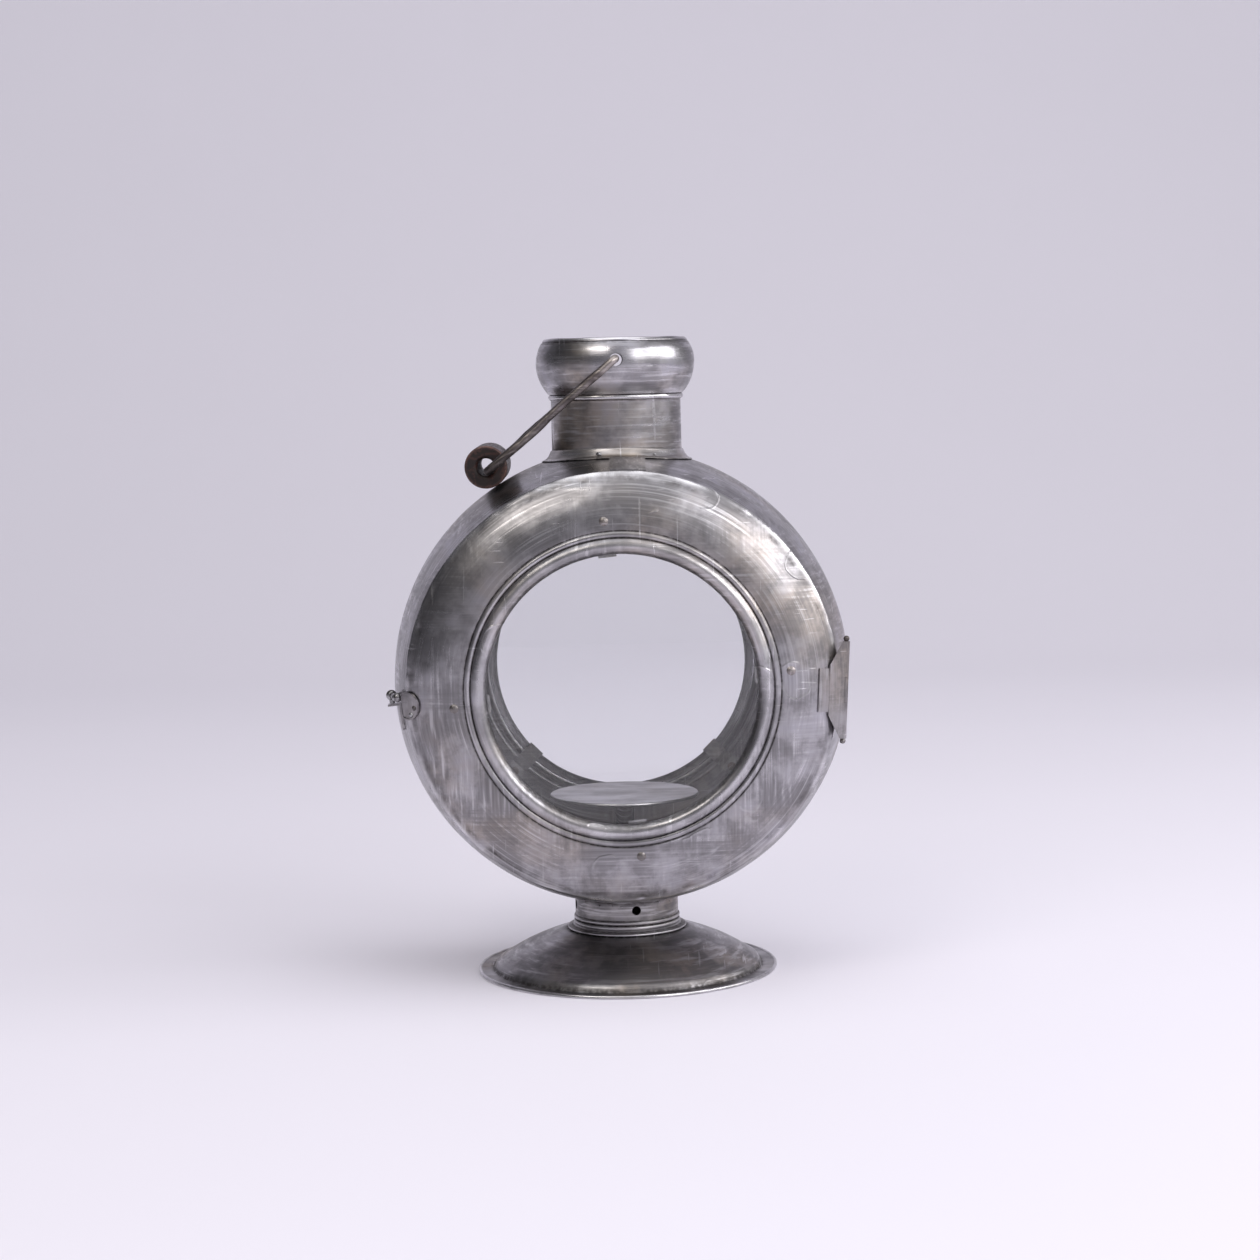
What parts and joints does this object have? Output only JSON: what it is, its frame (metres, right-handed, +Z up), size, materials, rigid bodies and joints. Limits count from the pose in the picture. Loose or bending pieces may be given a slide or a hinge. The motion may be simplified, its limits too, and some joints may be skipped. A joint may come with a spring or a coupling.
{
  "type": "candle lantern",
  "caption": "Round drum lantern of beaten sheet iron on a dished foot, with a hinged glazed door, a chimney neck and a wire bail with a wooden grip.",
  "frame": {"origin": "on the floor below the middle of the drum, at the centre of the foot", "axes": "+Z up; -Y towards the glazed door at the front; +X to the right, where the door's hinge is"},
  "size_m": [0.2379, 0.1572, 0.33],
  "materials": {
    "sheet_iron": "beaten and brushed, worn, faintly browned",
    "dark_iron": "dark, oiled, rubbed bright at the edges",
    "bright_iron": "pale, tinned, slightly dull",
    "clear_glass": "clear, polished",
    "turned_wood": "dark stained, waxed"
  },
  "bodies": {
    "lantern": {"foot_dish": "sheet_iron", "foot_collar": "sheet_iron", "side_wall": "sheet_iron", "wall_lap_strap": "sheet_iron", "rear_ring": "sheet_iron", "rear_glass": "clear_glass", "rear_glass_clips": "sheet_iron", "rear_clip_rivets": "bright_iron", "candle_stem": "dark_iron", "candle_plate": "bright_iron", "neck_flare": "sheet_iron", "neck_tube": "sheet_iron", "top_bulge": "sheet_iron", "top_rim": "sheet_iron", "hinge_wall_leaf": "dark_iron", "hinge_pin": "dark_iron", "latch_keeper": "dark_iron"},
    "door": {"door_ring": "sheet_iron", "door_glass": "clear_glass", "door_glass_clips": "sheet_iron", "door_clip_rivets": "bright_iron", "hinge_door_leaf": "dark_iron", "latch_plate": "dark_iron", "latch_plate_rivets": "bright_iron", "latch_pivot": "bright_iron"},
    "latch": {"latch_arm": "dark_iron", "latch_ball": "bright_iron"},
    "bail": {"bail_wire": "dark_iron"},
    "grip": {"grip_roller": "turned_wood"}
  },
  "joints": [
    {"name": "door_swing", "type": "hinge", "parent": "lantern", "child": "door", "pos_m": [0.11137, -0.0605, 0.15117], "axis": [0.0523, 0, 0.9986], "range_deg": [0, 120]},
    {"name": "latch_lift", "type": "hinge", "parent": "door", "child": "latch", "pos_m": [-0.11159, -0.056, 0.15202], "axis": [0.9562, 0.2749, 0.1005], "range_deg": [0, 75]},
    {"name": "bail_swing", "type": "hinge", "parent": "lantern", "child": "bail", "pos_m": [0, 0, 0.319], "axis": [0, 1, 0], "range_deg": [0, 257]},
    {"name": "grip_spin", "type": "hinge", "parent": "bail", "child": "grip", "pos_m": [-0.06696, 0, 0.26531], "axis": [0, 1, 0], "continuous": true}
  ]
}
